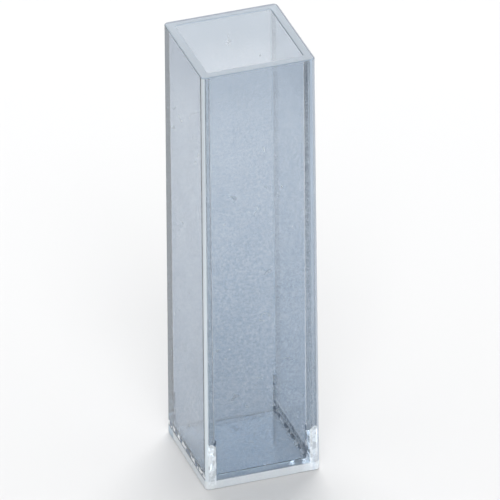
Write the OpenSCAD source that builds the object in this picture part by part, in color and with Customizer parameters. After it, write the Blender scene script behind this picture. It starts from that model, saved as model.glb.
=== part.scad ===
/* [Body] */

// Width of the square body across its foot
body_w = 12.3; // [11.5:0.1:16]
// How much narrower the body is at the rim than at the foot
body_draft = 0.35; // [0.05:0.05:0.6]
// Height of the body from the bench to the rim
body_h = 48; // [20:1:80]
// Radius of the four upright outer edges
edge_r = 0.5; // [0.2:0.1:1]
// Radius of the edges under the foot
foot_r = 0.15; // [0.05:0.05:1]

/* [Bore] */

// Width of the square bore at its floor, which sets the light path
bore_w = 9.95; // [4:0.05:10.5]
// How much wider the bore is at the rim than at its floor
bore_draft = 0.1; // [0.02:0.02:0.4]
// Thickness of the floor under the bore
floor_t = 1.1; // [0.6:0.1:5]
// Radius of the four upright corners inside the bore
corner_r = 0.25; // [0.1:0.05:1]
// Radius where the bore walls meet the floor
floor_r = 0.25; // [0.05:0.05:1]

/* [Hidden] */

$fn = 64;

// The bore is cut this far past the rim so that it opens cleanly
over = 1;
// Reach of the corner cutters outside the walls
reach = 1;
// Distance of an arc's centre from the wall that it rounds, as a share of its radius.
// Just under 1, so that the arc crosses the wall cleanly and isn't tangent to it.
seat = 0.99;

body_top_w = body_w - body_draft;
bore_h = body_h - floor_t;
// Width of the bore cutter at its top, above the rim
bore_top_w = bore_w + bore_draft * (bore_h + over) / bore_h;

// Outline of one side: straight sloping sides and two rounded lower corners
module side_outline(low_w, top_w, h, low_r) {
    wide = max(low_w, top_w) + reach;
    arc_x = low_w / 2 - seat * low_r;
    intersection() {
        polygon([
            [-low_w / 2, 0],
            [low_w / 2, 0],
            [top_w / 2, h],
            [-top_w / 2, h]
        ]);
        union() {
            translate([-wide / 2, low_r])
                square([wide, h - low_r]);
            translate([-arc_x, 0])
                square([2 * arc_x, h]);
            for (side = [-1, 1])
                translate([side * arc_x, low_r])
                    circle(r = low_r);
        }
    }
}

// Cutter that rounds the upright edge at +X +Y, leaning with the draft of the walls
module upright_edge_cutter(low_w, top_w, h, r) {
    lean = atan((low_w - top_w) / 2 * sqrt(2) / h);
    inset = seat * r;
    translate([low_w / 2, low_w / 2, 0])
        rotate(a = lean, v = [1, -1, 0])
            difference() {
                translate([-inset, -inset, -reach])
                    cube([inset + reach, inset + reach, h + 2 * reach]);
                translate([-inset, -inset, -2 * reach])
                    cylinder(r = r, h = h + 4 * reach);
            }
}

// Square block with four drafted sides, standing on z = 0
module drafted_block(low_w, top_w, h, upright_r, low_r) {
    wide = max(low_w, top_w) + reach;
    difference() {
        intersection() {
            rotate([90, 0, 0])
                linear_extrude(height = wide, center = true)
                    side_outline(low_w, top_w, h, low_r);
            rotate([90, 0, 90])
                linear_extrude(height = wide, center = true)
                    side_outline(low_w, top_w, h, low_r);
        }
        for (turn = [0:90:270])
            rotate([0, 0, turn])
                upright_edge_cutter(low_w, top_w, h, upright_r);
    }
}

// Square tube closed at the foot, moulded in one piece
module cuvette() {
    color([0.72, 0.8, 0.86, 0.6])
        difference() {
            drafted_block(body_w, body_top_w, body_h, edge_r, foot_r);
            translate([0, 0, floor_t])
                drafted_block(bore_w, bore_top_w, bore_h + over, corner_r, floor_r);
        }
}

cuvette();
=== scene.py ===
import math

import bpy
from mathutils import Matrix, Vector


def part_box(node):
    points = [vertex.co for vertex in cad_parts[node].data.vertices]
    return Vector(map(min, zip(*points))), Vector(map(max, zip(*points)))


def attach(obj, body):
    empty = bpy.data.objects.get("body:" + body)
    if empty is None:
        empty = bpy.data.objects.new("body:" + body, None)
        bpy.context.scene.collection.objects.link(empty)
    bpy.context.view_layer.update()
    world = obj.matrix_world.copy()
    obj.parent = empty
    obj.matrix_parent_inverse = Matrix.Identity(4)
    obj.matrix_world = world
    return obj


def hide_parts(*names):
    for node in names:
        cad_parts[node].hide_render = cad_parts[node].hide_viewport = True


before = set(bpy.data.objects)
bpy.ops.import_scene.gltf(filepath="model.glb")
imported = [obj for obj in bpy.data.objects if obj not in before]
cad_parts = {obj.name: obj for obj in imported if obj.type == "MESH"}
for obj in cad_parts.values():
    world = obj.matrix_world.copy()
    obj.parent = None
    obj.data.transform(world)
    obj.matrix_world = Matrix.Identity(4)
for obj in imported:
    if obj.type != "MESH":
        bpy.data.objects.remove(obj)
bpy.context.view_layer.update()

MM = 0.001

# Sizes of the moulding that the node's box doesn't give, in metres
BODY_DRAFT = 0.35 * MM      # how much narrower the body is at the rim than at the foot
EDGE_R = 0.5 * MM           # upright outer edges
FOOT_R = 0.15 * MM          # edges under the foot
BORE_W = 9.95 * MM          # bore width at its floor
BORE_HALF = BORE_W / 2
BORE_DRAFT = 0.1 * MM       # how much wider the bore is at the rim
FLOOR_T = 1.1 * MM          # thickness of the floor under the bore
CORNER_R = 0.25 * MM        # upright corners inside the bore
FLOOR_R = 0.25 * MM         # bore walls to bore floor
RIM_R = 0.1 * MM            # moulded break on both edges of the rim
POINT_R = 0.02 * MM         # smallest corner radius that a ring of the mesh has
MIDDLE_R = 0.1 * MM         # what the corner radius shrinks to at the middle of the foot

AIR_GAP = 0.02 * MM         # air film between the foot and the floor, which lets the foot reflect inside

# Words used in the names below:
# SHARE is how much of a colour is mixed in. HAZE is how much of the light a face scatters instead of
# letting it through. SCALE is per metre. FADE is a pair of places, and RANGE a pair of values of a
# noise; a finish comes in smoothly from the first to the second.

# The plastic
IOR = 1.42
VOLUME_COLOUR = (0.0, 0.17, 0.32, 1)
VOLUME_DENSITY = 48
TINT_SHADED_LOW = (0.57, 0.66, 0.76, 1)            # at the foot, darker than at the rim: a painted shade
TINT_HIGH = (0.675, 0.738, 0.808, 1)        # at the rim
FACE_ROUGHNESS = 0.02
FACE_HAZE_LOW = 0.02
FACE_HAZE_HIGH = 0.07
WAVE_SCALE = 220
WAVE_DEPTH = 12e-6
SKIN = 0.06 * MM            # depth of a mask that picks out one face
SKIN_FADE = (SKIN, SKIN / 2)                # under an outer face
OFF_BACK_FADE = (SKIN / 2, SKIN)            # under the back face
TURN_SHARE = 0.2            # of the half width, where left turns into right or front into back

# Fine grain, and clouds in it
GRAIN_COLOUR = (0.97, 0.98, 1.0, 1)
GRAIN_SCALE = 4200
GRAIN_RANGE = (0.4, 0.62)                   # for the colour
GRAIN_HAZE_RANGE = (0.42, 0.60)             # for the haze of the faces
GRAIN_SHARE = 0.55
GRAIN_SHARE_AT_RIM = GRAIN_SHARE * 0.4
GRAIN_FADE_H = 10 * MM      # the grain fades over this height below the rim
CLOUD_SCALE = 180
CLOUD_RANGE = (0.35, 0.7)
CLOUD_SHARE = 0.12
CLOUD_ROUGHNESS = 0.03

# Specks and scratches
SPECK_COLOUR = (0.95, 0.96, 0.97, 1)
SPECK_SCALE = 520
SPECK_SHARE = 0.25          # how many of the cells hold a speck
SPECK_RADIUS = 0.08         # in cells
SCRATCH_SCALE = 900
SCRATCH_LINE_RANGE = (0.03, 0.012)          # how far the noise is from its middle value
SCRATCH_PATCH_SCALE = SCRATCH_SCALE * 0.8
SCRATCH_PATCH_RANGE = (0.79, 0.82)
NOISE_MIDDLE = 0.5
MARK_SHARE = 0.5
MARK_ROUGHNESS = 0.3
MARK_HAZE = 0.35

# Upright outer edges; the two at the front are milky, and the right ones get a darker colour, a painted
# shade
EDGE_COLOUR = (0.86, 0.93, 0.98, 1)
RIGHT_EDGE_SHADE_COLOUR = (0.62, 0.68, 0.75, 1)
EDGE_SHARE = 0.95
EDGE_ROUGHNESS = 0.3
EDGE_HAZE_LOW = 0.9         # at the foot
EDGE_HAZE_HIGH = 0.7        # at the rim
EDGE_FADE = (EDGE_R * 0.8, EDGE_R * 0.55)   # under both outer faces

# Rim, and a painted shade: a dark line along its back and right edges
RIM_COLOUR = (0.54, 0.64, 0.75, 1)
RIM_ROUGHNESS = 0.45
RIM_HAZE = 0.32
RIM_FADE = (RIM_R * 1.5, RIM_R * 0.8)       # below the rim
LIP_SHADE_COLOUR = (0.17, 0.20, 0.26, 1)
LIP_SHADE_HAZE = 0.8
BACK_LIP_W = 0.45 * MM
BACK_LIP_FADE = (BACK_LIP_W, BACK_LIP_W * 0.7)
RIGHT_LIP_W = 0.25 * MM
RIGHT_LIP_FADE = (RIGHT_LIP_W, RIGHT_LIP_W * 0.7)

# Painted shade on the clear faces: the left face, the top of the bore, and a dark band up the front
# face where the bore's right side stands behind it
PAINTED_SHADE_COLOUR = (0.16, 0.21, 0.28, 1)
LEFT_SHADE_SHARE = 0.42
BORE_TOP_SHADE_SHARE = 0.24
BORE_TOP_H = 7 * MM
BORE_TOP_FADE = (BORE_TOP_H, BORE_TOP_H * 0.3)      # below the rim
BAND_SHADE_COLOUR = (0.03, 0.04, 0.06, 1)
BAND_SHADE_SHARE = 0.9
BAND_W = 0.45 * MM
BAND_LEFT_FADE = (BORE_HALF - BAND_W * 0.7, BORE_HALF - BAND_W * 0.5)
BAND_RIGHT_FADE = (BORE_HALF + BAND_W * 0.4, BORE_HALF + BAND_W * 0.2)
BAND_RISE = (0.25, 0.95)    # shares of the height

# Painted light, milky: a pale line up the right wall's end as a painted highlight, and a paler back end of
# the left face
PALE_LINE_HIGHLIGHT_COLOUR = (0.58, 0.68, 0.80, 1)
PALE_LINE_AT = 0.48 * MM    # how far the line is from the bore's side
PALE_LINE_W = 0.4 * MM
PALE_LINE_FADE = (PALE_LINE_W / 2, PALE_LINE_W / 4)
PALE_LINE_RISE = (0.1, 0.8)                 # shares of the height
PALE_LINE_LOW = 0.3         # how strong the line is at the foot
PALE_LINE_HAZE = 0.75
BACK_END_LIGHT_COLOUR = (0.52, 0.63, 0.73, 1)
BACK_END_W = 2.1 * MM
BACK_END_FADE = (BACK_END_W, BACK_END_W * 0.85)     # in from the back
BACK_END_HAZE = 0.24

# Foot, outer edge of the floor slab, and posts at the front ends of the side walls; the posts are a
# painted highlight, white patches with a domed top in place of reflections inside the foot
FOOT_SHARE = 0.8            # for the slab and the posts too
FOOT_ROUGHNESS = 0.15
FOOT_HAZE = 0.6             # under the bore only
FOOT_FADE = (FOOT_R * 1.1, FOOT_R * 0.7)
UNDER_BORE_FADE = (BORE_HALF, BORE_HALF - FLOOR_R)
SLAB_HAZE = 0.8
SLAB_FADE = (FLOOR_T, FLOOR_T * 0.85)
SLAB_SIDE_FADE = (FOOT_R * 1.2, FOOT_R)     # under the outer faces
WHITE_OF_SLAB_AND_POST_HIGHLIGHT = (0.95, 0.98, 1.0, 1)
POST_H = 5.4 * MM           # from the bench to the top of the posts
POST_TOP_FADE = (POST_H, POST_H - 0.15 * MM)
POST_SIDE_FADE = (BORE_HALF, BORE_HALF + SKIN)
POST_DOME = 1.4 / MM        # how sharply the top is rounded
POST_PATCH_SCALE = 2200
POST_PATCH_RANGE = (0.40, 0.60)
POST_HAZE_LOW = 0.6
POST_HAZE_HIGH = 0.9

# Inside of the bore, and its floor
BORE_SIDE_FADE = (BORE_HALF + 5 * SKIN, BORE_HALF + 4 * SKIN)
BORE_LOW_FADE = (FLOOR_T * 0.5, FLOOR_T * 0.8)
BORE_FLOOR_COLOUR = (0.88, 0.91, 0.94, 1)
BORE_FLOOR_HAZE = 0.2
BORE_FLOOR_FADE = (FLOOR_T + FLOOR_R * 0.6, FLOOR_T + FLOOR_R * 0.3)

# Chips, pale and raised or dark: along the sides of the bore's floor, low in the bore's corners, and in
# a row low on the outer side faces
GOUGE_COLOUR = (0.14, 0.19, 0.27, 1)
CHIP_SCALE = 1500
CHIP_DEPTH = 100e-6
CHIP_RANGE = (0.50, 0.53)
GOUGE_RANGE = (0.48, 0.45)
CHIP_HAZE = 0.9
CHIP_SIDE_FADE = (BORE_HALF - FLOOR_R, BORE_HALF - FLOOR_R * 0.7)
CHIP_FLOOR_FADE = (FLOOR_T + FLOOR_R * 1.3, FLOOR_T + FLOOR_R)
CHIP_CORNER_FADE = (BORE_HALF - CORNER_R, BORE_HALF - CORNER_R * 0.7)
SEAM_HALF = 0.35 * MM       # half the height of the row, which starts at the bore floor's level
SEAM_FADE = (SEAM_HALF, SEAM_HALF * 0.5)

# Floor and light; a place and an aim are points, and a size is in metres
FLOOR_SIZE = 6.0
FLOOR_COLOUR = (0.70, 0.69, 0.685, 1)
FLOOR_ROUGHNESS = 0.9
WORLD_STRENGTH = 0.55
WORLD_COLOUR = (0.93, 0.97, 1.0, 1)
KEY_PLACE = (-0.15, -0.6, 0.85)
KEY_AIM = (0, 0, 0)
KEY_SIZE = (0.5, 0.5)
KEY_POWER = 4.2
BACK_PLACE = (0.28, 0.83, 0.55)
BACK_AIM = (0, 0, 0.02)
BACK_SIZE = (1.2, 0.7)
BACK_POWER = 13.8

# Camera; angles are in degrees
AZIMUTH = -18.67
ELEVATION = 30.97
ROLL = -0.59
DISTANCE = 1.0
VIEW_WIDTH = 50.3 * MM      # what the picture spans at the cell
VIEW_ACROSS = 0.857 * MM    # from the cell's middle to the picture's, to the right
VIEW_UP = -0.234 * MM       # and upwards
SENSOR_WIDTH = 36           # in millimetres
CLIP_END = 100

# Fineness of the mesh
SIDE_STEPS = 28             # along each flat side
CORNER_STEPS = 10           # round each upright corner
ARC_STEPS = 5               # across each small rounding
WALL_STEPS = 60             # up each wall
FLAT_STEPS = 8              # from the edge of the foot, or of the bore's floor, to its middle


def cell_box():
    """The low and high corners of the cell in the CAD frame."""
    low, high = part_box("cuvette")
    return Vector(low), Vector(high)


def lerp(a, b, t):
    return a + (b - a) * t


class Section:
    """The cell's half section, walked from the middle of the foot, up outside and down the bore."""

    def __init__(self, low, high):
        self.height = high.z - low.z
        self.foot_z = low.z
        self.foot_half = (high.x - low.x) / 2
        self.centre = Vector(((low.x + high.x) / 2, (low.y + high.y) / 2, 0))
        self.rings = []         # half width, corner radius, z, and the normal's outward and upward shares

    def body_half(self, z):
        return self.foot_half - BODY_DRAFT / 2 * z / self.height

    def bore_half(self, z):
        return BORE_HALF + BORE_DRAFT / 2 * (z - FLOOR_T) / (self.height - FLOOR_T)

    def add(self, half, radius, z, out, up):
        self.rings.append((half, radius, z, out, up))

    def arc(self, half_of, radius, z, r, start, end, side):
        """A rounding of radius r whose centre is r inside the wall; angles are from level, upwards."""
        for i in range(ARC_STEPS + 1):
            a = math.radians(lerp(start, end, i / ARC_STEPS))
            inset = side * r * (1 - math.cos(a))
            corner = max(radius - inset, POINT_R)
            self.add(half_of(z) - inset, corner, z + r * math.sin(a), side * math.cos(a), math.sin(a))

    def build(self):
        top = self.height - RIM_R
        low = FLOOR_T + FLOOR_R
        edge = self.body_half(0) - FOOT_R
        for i in range(1, FLAT_STEPS + 1):
            t = i / (FLAT_STEPS + 1)
            self.add(edge * t, lerp(MIDDLE_R, EDGE_R - FOOT_R, t), 0, 0, -1)
        self.arc(self.body_half, EDGE_R, FOOT_R, FOOT_R, -90, 0, 1)
        for i in range(1, WALL_STEPS):
            z = lerp(FOOT_R, top, i / WALL_STEPS)
            self.add(self.body_half(z), EDGE_R, z, 1, 0)
        self.arc(self.body_half, EDGE_R, top, RIM_R, 0, 90, 1)
        self.arc(self.bore_half, CORNER_R, top, RIM_R, 90, 0, -1)
        for i in range(1, WALL_STEPS):
            z = lerp(top, low, i / WALL_STEPS)
            self.add(self.bore_half(z), CORNER_R, z, -1, 0)
        for i in range(ARC_STEPS + 1):
            a = math.radians(lerp(0, 90, i / ARC_STEPS))
            inset = FLOOR_R * (1 - math.cos(a))
            corner = max(CORNER_R - inset, POINT_R)
            z = low - FLOOR_R * math.sin(a)
            self.add(self.bore_half(low) - inset, corner, z, -math.cos(a), math.sin(a))
        edge = self.rings[-1][0]
        for i in range(FLAT_STEPS, 0, -1):
            t = i / (FLAT_STEPS + 1)
            self.add(edge * t, POINT_R, FLOOR_T, 0, 1)
        return self.rings


def rounded_square(half, radius):
    """Points and outward directions round a square with rounded corners, anticlockwise."""
    flat = half - radius
    for side in range(4):
        turn = side * math.pi / 2
        c, s = math.cos(turn), math.sin(turn)
        for i in range(SIDE_STEPS):
            x, y = half, lerp(-flat, flat, i / SIDE_STEPS)
            yield c * x - s * y, s * x + c * y, c, s
        for i in range(CORNER_STEPS):
            a = math.pi / 2 * i / CORNER_STEPS
            x, y = flat + radius * math.cos(a), flat + radius * math.sin(a)
            yield c * x - s * y, s * x + c * y, math.cos(turn + a), math.sin(turn + a)


def cell_mesh(name):
    section = Section(*cell_box())
    rings = section.build()
    verts, normals, faces = [], [], []
    draft = math.atan(BODY_DRAFT / 2 / section.height)
    for half, radius, z, out, up in rings:
        on_outer_wall = up == 0 and out > 0
        tilt = up + (math.sin(draft) if on_outer_wall else 0)
        for x, y, nx, ny in rounded_square(half, radius):
            verts.append((x + section.centre.x, y + section.centre.y, z + section.foot_z))
            normals.append(Vector((nx * out, ny * out, tilt)).normalized())
    n = 4 * (SIDE_STEPS + CORNER_STEPS)
    for r in range(len(rings) - 1):
        for i in range(n):
            j = (i + 1) % n
            faces.append((r * n + i, r * n + j, (r + 1) * n + j, (r + 1) * n + i))
    faces.append(tuple(reversed(range(n))))
    last = (len(rings) - 1) * n
    faces.append(tuple(last + i for i in range(n)))
    mesh = bpy.data.meshes.new(name)
    mesh.from_pydata(verts, [], faces)
    mesh.update()
    for poly in mesh.polygons:
        poly.use_smooth = True
    mesh.normals_split_custom_set_from_vertices(normals)
    return mesh


class Graph:
    """Short calls for building a material's nodes; each gives back an output socket."""

    def __init__(self, tree):
        self.tree = tree

    def feed(self, socket, value):
        if isinstance(value, bpy.types.NodeSocket):
            self.tree.links.new(value, socket)
        else:
            socket.default_value = value

    def math(self, operation, a, b=0.0):
        node = self.tree.nodes.new("ShaderNodeMath")
        node.operation = operation
        self.feed(node.inputs[0], a)
        self.feed(node.inputs[1], b)
        return node.outputs[0]

    def plus(self, a, b):
        return self.math("ADD", a, b)

    def minus(self, a, b):
        return self.math("SUBTRACT", a, b)

    def size(self, a):
        return self.math("ABSOLUTE", a)

    def least(self, a, b):
        return self.math("MINIMUM", a, b)

    def most(self, first, *rest):
        """The largest; of masks, where any of them is."""
        for value in rest:
            first = self.math("MAXIMUM", first, value)
        return first

    def times(self, first, *rest):
        """The product; of masks, where all of them are."""
        for value in rest:
            first = self.math("MULTIPLY", first, value)
        return first

    def ramp(self, value, start, end, low=0.0, high=1.0):
        """Smooth step from low to high as value goes from start to end."""
        node = self.tree.nodes.new("ShaderNodeMapRange")
        node.interpolation_type = "SMOOTHSTEP"
        settings = {"Value": value, "From Min": start, "From Max": end, "To Min": low, "To Max": high}
        for name, setting in settings.items():
            self.feed(node.inputs[name], setting)
        return node.outputs["Result"]

    def noise(self, place, scale, detail=2.0, roughness=0.5):
        node = self.tree.nodes.new("ShaderNodeTexNoise")
        self.feed(node.inputs["Vector"], place)
        node.inputs["Scale"].default_value = scale
        node.inputs["Detail"].default_value = detail
        node.inputs["Roughness"].default_value = roughness
        return node.outputs["Fac"]

    def specks(self, place, scale, radius, share):
        """Mask of round specks, one in each of a given share of Voronoi cells; radius is in cells."""
        node = self.tree.nodes.new("ShaderNodeTexVoronoi")
        self.feed(node.inputs["Vector"], place)
        node.inputs["Scale"].default_value = scale
        chosen = self.math("LESS_THAN", self.channel(node.outputs["Color"], 0), share)
        return self.times(chosen, self.ramp(node.outputs["Distance"], radius, radius * 0.5))

    def channel(self, vector, index):
        node = self.tree.nodes.new("ShaderNodeSeparateXYZ")
        self.feed(node.inputs[0], vector)
        return node.outputs[index]

    def mix(self, share, a, b):
        node = self.tree.nodes.new("ShaderNodeMix")
        node.data_type = "RGBA"
        self.feed(node.inputs["Factor"], share)
        self.feed(node.inputs["A"], a)
        self.feed(node.inputs["B"], b)
        return node.outputs["Result"]

    def bump(self, height, depth, under=None):
        node = self.tree.nodes.new("ShaderNodeBump")
        self.feed(node.inputs["Height"], height)
        node.inputs["Distance"].default_value = depth
        if under is not None:
            self.feed(node.inputs["Normal"], under)
        return node.outputs["Normal"]


class Masks:
    """Where each finish, painted shade and painted highlight goes on the cell, as masks that run from 0 to
    1.
    """

    def __init__(self, graph, place):
        low, high = cell_box()
        self.graph = graph
        self.place = place
        self.height = high.z - low.z
        self.half = (high.x - low.x) / 2
        # From the cell's middle to the right and to the back, the same without their signs, and up
        self.across = graph.minus(graph.channel(place, 0), (low.x + high.x) / 2)
        self.depth = graph.minus(graph.channel(place, 1), (low.y + high.y) / 2)
        self.x = graph.size(self.across)
        self.y = graph.size(self.depth)
        self.z = graph.minus(graph.channel(place, 2), low.z)
        # How far the draft has moved the outer faces in at this height
        self.lean = graph.times(self.z, BODY_DRAFT / 2 / self.height)
        self.add_faces()
        self.add_rim()
        self.add_foot()
        self.add_chips()
        self.add_strips()
        self.add_wear()

    def face(self, distance, fade):
        """Fade that is given as two depths under the outer face that the distance runs to."""
        return self.graph.ramp(distance, self.half - fade[0], self.half - fade[1])

    def under_rim(self, fade):
        return self.graph.ramp(self.z, self.height - fade[0], self.height - fade[1])

    def up(self, rise, low=0.0, high=1.0):
        """Fade that is given as two shares of the height."""
        return self.graph.ramp(self.z, self.height * rise[0], self.height * rise[1], low, high)

    def add_faces(self):
        graph = self.graph
        self.edge = self.face(graph.plus(graph.least(self.x, self.y), self.lean), EDGE_FADE)
        self.on_x_face = self.face(graph.plus(self.x, self.lean), SKIN_FADE)
        self.on_y_face = self.face(graph.plus(self.y, self.lean), SKIN_FADE)
        self.left_face = self.face(graph.minus(self.lean, self.across), SKIN_FADE)
        self.front_face = self.face(graph.minus(self.lean, self.depth), SKIN_FADE)
        self.not_back = self.face(graph.plus(self.depth, self.lean), OFF_BACK_FADE)
        inside = graph.ramp(graph.most(self.x, self.y), *BORE_SIDE_FADE)
        self.inside = graph.times(inside, graph.ramp(self.z, *BORE_LOW_FADE))
        self.at_right = graph.ramp(self.across, self.half * -TURN_SHARE, self.half * TURN_SHARE)
        self.at_front = graph.ramp(self.depth, self.half * TURN_SHARE, self.half * -TURN_SHARE)

    def add_rim(self):
        graph = self.graph
        self.rim = self.under_rim(RIM_FADE)
        back_line = self.face(graph.plus(self.depth, self.lean), BACK_LIP_FADE)
        right_line = self.face(graph.plus(self.across, self.lean), RIGHT_LIP_FADE)
        # Painted shade: a dark line along the rim's back and right edges
        self.lip_shade = graph.times(self.rim, graph.most(back_line, right_line))

    def add_foot(self):
        graph = self.graph
        self.foot = graph.ramp(self.z, *FOOT_FADE)
        self.under_bore = graph.ramp(graph.most(self.x, self.y), *UNDER_BORE_FADE)
        outside = self.face(graph.plus(graph.most(self.x, self.y), self.lean), SLAB_SIDE_FADE)
        self.slab = graph.times(graph.ramp(self.z, *SLAB_FADE), outside, self.not_back)
        self.bore_floor = graph.times(self.inside, graph.ramp(self.z, *BORE_FLOOR_FADE))
        # Painted highlight: white posts at the front ends of the side walls
        off_middle = graph.minus(self.x, (BORE_HALF + self.half) / 2)
        domed = graph.plus(self.z, graph.times(off_middle, off_middle, POST_DOME))
        wall_end = graph.ramp(self.x, *POST_SIDE_FADE)
        self.post_highlight = graph.times(self.on_y_face, wall_end, graph.ramp(domed, *POST_TOP_FADE), self.not_back)

    def add_chips(self):
        graph = self.graph
        by_side = graph.times(self.inside, graph.ramp(self.x, *CHIP_SIDE_FADE))
        by_floor = graph.times(by_side, graph.ramp(self.z, *CHIP_FLOOR_FADE))
        corner = graph.ramp(self.y, *CHIP_CORNER_FADE)
        in_corner = graph.times(by_side, corner, graph.ramp(self.z, *POST_TOP_FADE))
        off_row = graph.size(graph.minus(self.z, FLOOR_T + SEAM_HALF))
        in_row = graph.times(graph.ramp(off_row, *SEAM_FADE), self.on_x_face)
        seam = graph.most(by_floor, in_corner, in_row)
        pattern = graph.noise(self.place, CHIP_SCALE, detail=1.0)
        self.chip = graph.times(graph.ramp(pattern, *CHIP_RANGE), seam)
        self.gouge = graph.times(graph.ramp(pattern, *GOUGE_RANGE), seam)

    def add_strips(self):
        graph = self.graph
        # Painted shade: the top of the bore, and a dark band up the front face
        self.bore_top_shade = graph.times(self.inside, self.under_rim(BORE_TOP_FADE))
        left_side = graph.ramp(self.across, *BAND_LEFT_FADE)
        right_side = graph.ramp(self.across, *BAND_RIGHT_FADE)
        self.dark_band_shade = graph.times(left_side, right_side, self.front_face, self.up(BAND_RISE))
        # Painted highlight up the right wall's end, and painted light on the back end of the left face
        off_line = graph.size(graph.minus(self.across, BORE_HALF + PALE_LINE_AT))
        on_line = graph.ramp(off_line, *PALE_LINE_FADE)
        self.pale_line_highlight = graph.times(on_line, self.front_face, self.up(PALE_LINE_RISE, PALE_LINE_LOW))
        self.back_end_light = graph.times(self.left_face, self.face(self.depth, BACK_END_FADE))

    def add_wear(self):
        graph = self.graph
        self.grain = graph.noise(self.place, GRAIN_SCALE, detail=3.0, roughness=0.6)
        self.cloud = graph.noise(self.place, CLOUD_SCALE, detail=3.0, roughness=0.5)
        speck = graph.specks(self.place, SPECK_SCALE, SPECK_RADIUS, SPECK_SHARE)
        contour = graph.size(graph.minus(graph.noise(self.place, SCRATCH_SCALE, detail=0.0), NOISE_MIDDLE))
        patch = graph.ramp(graph.noise(self.place, SCRATCH_PATCH_SCALE, detail=0.0), *SCRATCH_PATCH_RANGE)
        scratch = graph.times(graph.ramp(contour, *SCRATCH_LINE_RANGE), patch)
        self.mark = graph.most(speck, scratch)


def tint(graph, masks):
    """The plastic's colour, with each layer laid over those before it; several layers are painted shade
    and painted highlights.
    """
    height = masks.height
    grain_share = graph.ramp(masks.z, height - GRAIN_FADE_H, height, GRAIN_SHARE, GRAIN_SHARE_AT_RIM)
    layers = (
        # Painted shade on the left face, the top of the bore and the dark band up the front face
        (graph.times(masks.left_face, LEFT_SHADE_SHARE), PAINTED_SHADE_COLOUR),
        (graph.times(masks.bore_top_shade, BORE_TOP_SHADE_SHARE), PAINTED_SHADE_COLOUR),
        (graph.times(masks.dark_band_shade, BAND_SHADE_SHARE), BAND_SHADE_COLOUR),
        (graph.times(graph.ramp(masks.grain, *GRAIN_RANGE), grain_share), GRAIN_COLOUR),
        (graph.times(graph.ramp(masks.cloud, *CLOUD_RANGE), CLOUD_SHARE), GRAIN_COLOUR),
        (masks.bore_floor, BORE_FLOOR_COLOUR),
        (graph.times(masks.mark, MARK_SHARE), SPECK_COLOUR),
        # Milky upright edges; on the right side they are darker, a painted shade
        (graph.times(masks.edge, EDGE_SHARE), graph.mix(masks.at_right, EDGE_COLOUR, RIGHT_EDGE_SHADE_COLOUR)),
        (masks.rim, RIM_COLOUR),
        # Painted shade along the rim's back and right edges
        (masks.lip_shade, LIP_SHADE_COLOUR),
        (graph.times(masks.foot, FOOT_SHARE), EDGE_COLOUR),
        (graph.times(masks.slab, FOOT_SHARE), WHITE_OF_SLAB_AND_POST_HIGHLIGHT),
        # Painted highlight: white posts at the front ends of the side walls
        (graph.times(masks.post_highlight, FOOT_SHARE), WHITE_OF_SLAB_AND_POST_HIGHLIGHT),
        # Painted highlight up the right wall's end, and painted light on the back end of the left face
        (masks.pale_line_highlight, PALE_LINE_HIGHLIGHT_COLOUR),
        (masks.back_end_light, BACK_END_LIGHT_COLOUR),
        (masks.chip, SPECK_COLOUR),
        (masks.gouge, GOUGE_COLOUR),
    )
    # The plastic's tint, darker towards the foot: a painted shade
    colour = graph.mix(graph.ramp(masks.z, 0.0, height), TINT_SHADED_LOW, TINT_HIGH)
    for share, layer in layers:
        colour = graph.mix(share, colour, layer)
    return colour


def roughness(graph, masks):
    return graph.most(
        graph.plus(FACE_ROUGHNESS, graph.times(masks.cloud, CLOUD_ROUGHNESS)),
        graph.times(masks.edge, EDGE_ROUGHNESS),
        graph.times(masks.rim, RIM_ROUGHNESS),
        graph.times(masks.foot, FOOT_ROUGHNESS),
        graph.times(masks.mark, MARK_ROUGHNESS),
    )


def haze(graph, masks):
    edge_haze = graph.ramp(masks.z, 0.0, masks.height, EDGE_HAZE_LOW, EDGE_HAZE_HIGH)
    patches = graph.noise(masks.place, POST_PATCH_SCALE, detail=2.0)
    post_highlight_haze = graph.ramp(patches, *POST_PATCH_RANGE, POST_HAZE_LOW, POST_HAZE_HIGH)
    return graph.most(
        graph.times(masks.edge, edge_haze, masks.at_front),
        graph.times(masks.rim, RIM_HAZE),
        graph.times(masks.slab, SLAB_HAZE),
        graph.times(masks.post_highlight, post_highlight_haze),
        graph.times(graph.most(masks.chip, masks.gouge), CHIP_HAZE),
        graph.times(masks.lip_shade, LIP_SHADE_HAZE),
        graph.times(masks.bore_floor, BORE_FLOOR_HAZE),
        graph.times(masks.mark, MARK_HAZE),
        graph.times(masks.pale_line_highlight, PALE_LINE_HAZE),
        graph.times(masks.back_end_light, BACK_END_HAZE),
        graph.times(masks.foot, masks.under_bore, FOOT_HAZE),
        graph.ramp(masks.grain, *GRAIN_HAZE_RANGE, FACE_HAZE_LOW, FACE_HAZE_HIGH),
    )


def normal(graph, masks):
    """Slight waves over the faces, with the chips raised on them."""
    wave = graph.bump(graph.noise(masks.place, WAVE_SCALE, detail=1.0), WAVE_DEPTH)
    return graph.bump(masks.chip, CHIP_DEPTH, wave)


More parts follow.
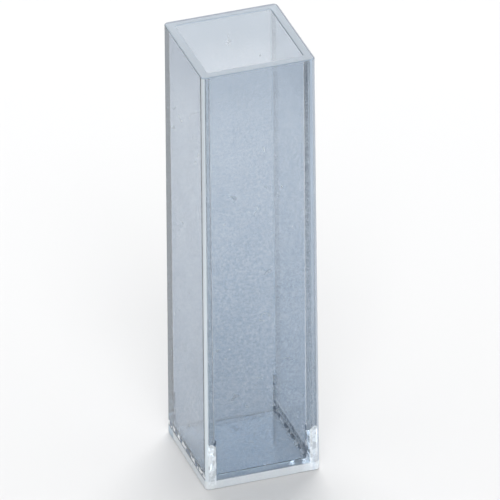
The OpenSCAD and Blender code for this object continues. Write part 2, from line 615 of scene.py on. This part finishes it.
def clear_plastic():
    mat = bpy.data.materials.new("clear_plastic")
    mat.use_nodes = True
    tree = mat.node_tree
    shader = tree.nodes["Principled BSDF"]
    graph = Graph(tree)
    masks = Masks(graph, tree.nodes.new("ShaderNodeTexCoord").outputs["Object"])
    graph.feed(shader.inputs["Base Color"], tint(graph, masks))
    graph.feed(shader.inputs["Roughness"], roughness(graph, masks))
    graph.feed(shader.inputs["Normal"], normal(graph, masks))
    graph.feed(shader.inputs["Transmission Weight"], graph.minus(1.0, haze(graph, masks)))
    shader.inputs["IOR"].default_value = IOR
    volume = tree.nodes.new("ShaderNodeVolumeAbsorption")
    volume.inputs["Color"].default_value = VOLUME_COLOUR
    volume.inputs["Density"].default_value = VOLUME_DENSITY
    tree.links.new(volume.outputs["Volume"], tree.nodes["Material Output"].inputs["Volume"])
    return mat


def floor_material():
    mat = bpy.data.materials.new("floor")
    mat.use_nodes = True
    shader = mat.node_tree.nodes["Principled BSDF"]
    shader.inputs["Base Color"].default_value = FLOOR_COLOUR
    shader.inputs["Roughness"].default_value = FLOOR_ROUGHNESS
    return mat


def add_floor():
    mesh = bpy.data.meshes.new("floor")
    half = FLOOR_SIZE / 2
    corners = [(-half, -half, 0), (half, -half, 0), (half, half, 0), (-half, half, 0)]
    mesh.from_pydata(corners, [], [(0, 1, 2, 3)])
    floor = bpy.data.objects.new("floor", mesh)
    floor.location.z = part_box("cuvette")[0][2] - AIR_GAP
    mesh.materials.append(floor_material())
    bpy.context.scene.collection.objects.link(floor)


def add_softbox(name, place, aim, size, power):
    light = bpy.data.lights.new(name, "AREA")
    light.shape = "RECTANGLE"
    light.size, light.size_y = size
    light.energy = power
    obj = bpy.data.objects.new(name, light)
    obj.location = place
    obj.rotation_euler = (Vector(aim) - Vector(place)).to_track_quat("-Z", "Y").to_euler()
    bpy.context.scene.collection.objects.link(obj)


def add_camera():
    low, high = cell_box()
    centre = (low + high) / 2
    azimuth = math.radians(AZIMUTH)
    elevation = math.radians(ELEVATION)
    back = Vector((math.sin(azimuth) * math.cos(elevation), -math.cos(azimuth) * math.cos(elevation),
                   math.sin(elevation)))
    right = Vector((math.cos(azimuth), math.sin(azimuth), 0))
    up = back.cross(right)
    turn = Matrix.Rotation(math.radians(ROLL), 3, back)
    right, up = turn @ right, turn @ up
    camera = bpy.data.cameras.new("camera")
    camera.sensor_width = SENSOR_WIDTH
    camera.lens = SENSOR_WIDTH * DISTANCE / VIEW_WIDTH
    camera.clip_end = CLIP_END
    obj = bpy.data.objects.new("camera", camera)
    place = centre + back * DISTANCE + right * VIEW_ACROSS + up * VIEW_UP
    obj.matrix_world = Matrix.Translation(place) @ Matrix((right, up, back)).transposed().to_4x4()
    bpy.context.scene.collection.objects.link(obj)
    bpy.context.scene.camera = obj


def add_world():
    world = bpy.data.worlds.new("studio")
    bpy.context.scene.world = world
    world.use_nodes = True
    background = world.node_tree.nodes["Background"]
    background.inputs["Color"].default_value = WORLD_COLOUR
    background.inputs["Strength"].default_value = WORLD_STRENGTH


cell = bpy.data.objects.new("cuvette_cell", cell_mesh("cuvette_cell"))
bpy.context.scene.collection.objects.link(cell)
cell.data.materials.append(clear_plastic())
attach(cell, "root")
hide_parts("cuvette")

add_floor()
add_world()
add_softbox("key", KEY_PLACE, KEY_AIM, KEY_SIZE, KEY_POWER)
add_softbox("back", BACK_PLACE, BACK_AIM, BACK_SIZE, BACK_POWER)
add_camera()
bpy.context.scene.view_settings.view_transform = "Standard"
